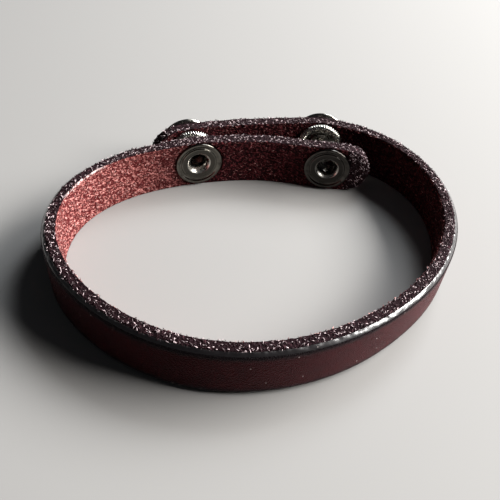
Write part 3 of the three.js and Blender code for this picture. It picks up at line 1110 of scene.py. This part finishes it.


# Colours of the leather. The first three are pairs, in the open and where shade is painted near both
# ends
# The hollows are drawn darker than the pile, partly the suede's own tone and partly painted shade
FLESH_HOLLOWS = ((0.120, 0.015, 0.016), (0.011, 0.0008, 0.0017))
FLESH_PILE = ((0.66, 0.245, 0.220), (0.095, 0.014, 0.018))
FLESH_TIPS = ((0.92, 0.56, 0.52), (0.20, 0.050, 0.055))
CUT_HOLLOWS = (0.012, 0.003, 0.005)
CUT_SPECKS = (0.11, 0.048, 0.058)
TORN_CORNER = (0.86, 0.66, 0.64)
DARK_DYE = (0.026, 0.0006, 0.0014)
BRIGHT_DYE = (0.050, 0.0016, 0.0032)
DYE_MOTTLE = (0.125, 0.007, 0.012)
# The painted shade on the grain, and the most of it that is mixed in
GRAIN_SHADE = (0.010, 0.0004, 0.0008)
GRAIN_SHADE_SHARE = 0.65
BURNISHED_WAX = (0.006, 0.004, 0.005)
DUST = (0.62, 0.55, 0.52)

# Colours of the loose fibres, from the darkest to the palest
INNER_FIBRES = ((0.13, 0.015, 0.018), (0.84, 0.48, 0.44))
OUTER_FIBRES = ((0.030, 0.009, 0.013), (0.88, 0.71, 0.73))


def flesh_look(recipe, laid):
    """Colour and height of the suede inside, which is darker where shade is painted near both ends."""
    slanted = recipe.stretched(laid, (1, 1, 1), math.atan(FIBRE_SLANT))
    strokes = recipe.noise(recipe.stretched(slanted, (1.3, 3.4, 3.4)), 1.0, 4, 0.6, 0.2)
    tufts = recipe.noise(laid, 2.2, 4, 0.65)
    pile = recipe.maths("MULTIPLY", strokes, tufts)
    # Darker hollows between the pile: partly the suede's own tone, partly painted shade
    light = recipe.ranged(pile, 0.23, 0.33)
    # Painted shade near both ends darkens the hollows, the pile and the tips
    flesh_shade = recipe.attribute("flesh_shade", "Fac")
    deep = recipe.mixed(flesh_shade, *FLESH_HOLLOWS)
    raised = recipe.mixed(flesh_shade, *FLESH_PILE)
    tips = recipe.mixed(flesh_shade, *FLESH_TIPS)
    raised = recipe.mixed(recipe.ranged(pile, 0.33, 0.41), raised, tips)
    return recipe.mixed(light, deep, raised), recipe.maths("MULTIPLY", pile, 2.2)


def edge_look(recipe, laid):
    """Colour and height of the raw cut edge."""
    fibres = recipe.noise(recipe.stretched(laid, (2.4, 2.8, 1.7)), 1.0, 5, 0.68, 0.7)
    specks = recipe.ranged(fibres, 0.57, 0.66)
    return recipe.mixed(specks, CUT_HOLLOWS, CUT_SPECKS), fibres


def grain_look(recipe, laid):
    """Colour and height of the smooth outside, dyed darker along its edges, with painted shade towards
    the inner end.
    """
    inset = recipe.attribute("inset_mm", "Fac")
    clouds = recipe.ranged(recipe.noise(laid, 0.28, 3), 0.35, 0.68)
    grain_tone = recipe.mixed(clouds, DARK_DYE, BRIGHT_DYE)
    mottle = recipe.ranged(recipe.noise(laid, 5.0, 3), 0.50, 0.66)
    grain_tone = recipe.mixed(mottle, grain_tone, DYE_MOTTLE)
    # Painted shade on the grain towards the inner end
    shade_share = recipe.maths("MULTIPLY", recipe.attribute("grain_shade", "Fac"), GRAIN_SHADE_SHARE)
    grain_tone = recipe.mixed(shade_share, grain_tone, GRAIN_SHADE)
    wander = recipe.maths("MULTIPLY_ADD", recipe.noise(laid, 0.8, 3), 0.9, inset)
    burnished = recipe.ranged(wander, 1.5, 2.4, 1.0, 0.0)
    color = recipe.mixed(burnished, grain_tone, BURNISHED_WAX)
    dust = recipe.maths("MULTIPLY", dust_specks(recipe, laid), 0.95)
    pores = recipe.maths("ADD", recipe.cells(laid, 4.6), recipe.noise(laid, 6.0, 3))
    return recipe.mixed(dust, color, DUST), pores


def dust_specks(recipe, laid):
    """A few pale specks, about one in each 5 mm square."""
    near = recipe.ranged(recipe.cells(laid, 0.55), 0.045, 0.065, 1.0, 0.0)
    some = recipe.ranged(recipe.noise(laid, 0.45, 1), 0.40, 0.46)
    return recipe.maths("MULTIPLY", near, some)


def leather_material(name, pores, finish):
    """One leather whose three looks meet along ragged lines. Where it is torn, a pale line follows
    the corner between the inside and the cut edge."""
    recipe = Recipe(name)
    laid = recipe.attribute("strap_mm")
    zone = recipe.attribute("zone", "Fac")
    ragged = recipe.maths("MULTIPLY_ADD", recipe.noise(laid, 2.2, 4), 0.7, zone)
    to_edge = recipe.ranged(ragged, 0.45, 0.75)
    to_grain = recipe.ranged(ragged, 1.52, 1.68)
    flesh, edge, grain = (look(recipe, laid) for look in (flesh_look, edge_look, grain_look))
    near_corner = recipe.ranged(recipe.attribute("inset_mm", "Fac"), 0.30, 0.50, 1.0, 0.0)
    past_corner = recipe.ranged(zone, 0.75, 1.0, 1.0, 0.0)
    torn = recipe.maths("MULTIPLY", near_corner, past_corner)
    torn = recipe.maths("MULTIPLY", torn, recipe.ranged(recipe.noise(laid, 1.6, 3), 0.36, 0.50))
    torn = recipe.maths("MULTIPLY", torn, recipe.attribute("torn", "Fac"))
    rough = recipe.mixed(torn, recipe.mixed(to_edge, flesh[0], edge[0]), TORN_CORNER)
    color = recipe.mixed(to_grain, rough, grain[0])
    roughness = recipe.ranged(to_grain, 0.0, 1.0, 0.82, 0.35)
    raised = recipe.blended(to_edge, flesh[1], edge[1])
    height = recipe.blended(to_grain, raised, recipe.maths("MULTIPLY", grain[1], pores))
    recipe.set(base_color=color, roughness=roughness, **finish)
    recipe.bump(height, 0.95, 0.34 * MM)
    return recipe.material


def fibre_material():
    """Torn fibre ends, from dark red to pale pink, and paler on the cut edges."""
    recipe = Recipe("leather_fibre")
    tone = recipe.attribute("tone", "Fac")
    edge = recipe.attribute("on_edge", "Fac")
    inside = recipe.mixed(recipe.ranged(tone, 0.35, 1.0), *INNER_FIBRES)
    outside = recipe.mixed(recipe.ranged(tone, 0.58, 0.92), *OUTER_FIBRES)
    recipe.set(base_color=recipe.mixed(edge, inside, outside), roughness=0.5, specular_ior_level=0.3)
    return recipe.material


# Colours of the metal. The eyelets stand in the shade inside the loop and are drawn darker
NICKEL = (0.40, 0.38, 0.34)
SOCKET_NICKEL = (0.60, 0.58, 0.53)
LIP_NICKEL = (0.62, 0.60, 0.55)
FUNNEL_NICKEL = (0.5, 0.48, 0.44)
DARK_FUNNEL = (0.06, 0.055, 0.05)
DARK_EYELET = (0.13, 0.122, 0.105)
DARKEST_EYELET = (0.055, 0.050, 0.045)


def metal_material(name, color, roughness, dulling, funnel=None):
    """Plated metal. An eyelet's has a matte dish, a bright lip and a funnel of its own colour."""
    recipe = Recipe(name)
    place = recipe.place()
    tarnish = recipe.ranged(recipe.noise(place, 900, 4), 0.42, 0.70)
    dull = tuple(channel * dulling for channel in color)
    shade = recipe.mixed(tarnish, color, dull)
    rough = recipe.ranged(tarnish, 0.0, 1.0, roughness, roughness + 0.14)
    height = recipe.noise(recipe.stretched(place, (6000, 6000, 500)), 1.0, 2)
    if funnel:
        radius = recipe.attribute("radius_mm", "Fac")
        lip = recipe.ranged(radius, EYELET_MOUTH / MM - 0.35, EYELET_MOUTH / MM - 0.15)
        mouth = recipe.mixed(lip, funnel, LIP_NICKEL)
        inner = recipe.ranged(radius, EYELET_MOUTH / MM, EYELET_MOUTH / MM + 0.25)
        outer = recipe.ranged(radius, EYELET_STEP / MM - 0.3, EYELET_STEP / MM - 0.1, 1.0, 0.0)
        dish = recipe.maths("MULTIPLY", inner, outer)
        matte = tuple(channel / 2 for channel in color)
        shade = recipe.mixed(inner, mouth, recipe.mixed(dish, shade, matte))
        rough = recipe.maths("MULTIPLY_ADD", dish, 0.20, rough)
        rough = recipe.maths("ADD", rough, recipe.ranged(inner, 0.0, 1.0, 0.10, 0.0))
        pitted = recipe.maths("MULTIPLY", dish, recipe.noise(place, 1700, 2))
        height = recipe.maths("MULTIPLY_ADD", pitted, 14.0, height)
    recipe.set(base_color=shade, metallic=1.0, roughness=rough)
    recipe.bump(height, 0.10, 0.05 * MM)
    return recipe.material


# The metal of each kind of piece, or of one node
METAL = {
    "cap": metal_material("cap_nickel", NICKEL, 0.16, 0.7),
    "socket": metal_material("socket_nickel", SOCKET_NICKEL, 0.18, 0.7),
    "stud": metal_material("stud_nickel", NICKEL, 0.20, 0.7),
    "closed_snap_eyelet": metal_material("closed_eyelet_nickel", DARK_EYELET, 0.14, 0.6, FUNNEL_NICKEL),
    "open_snap_eyelet": metal_material("open_eyelet_nickel", DARKEST_EYELET, 0.14, 0.6, DARK_FUNNEL),
}

make_fibres(make_strap())
make_snaps()
make_camera()
make_light()
make_floor()
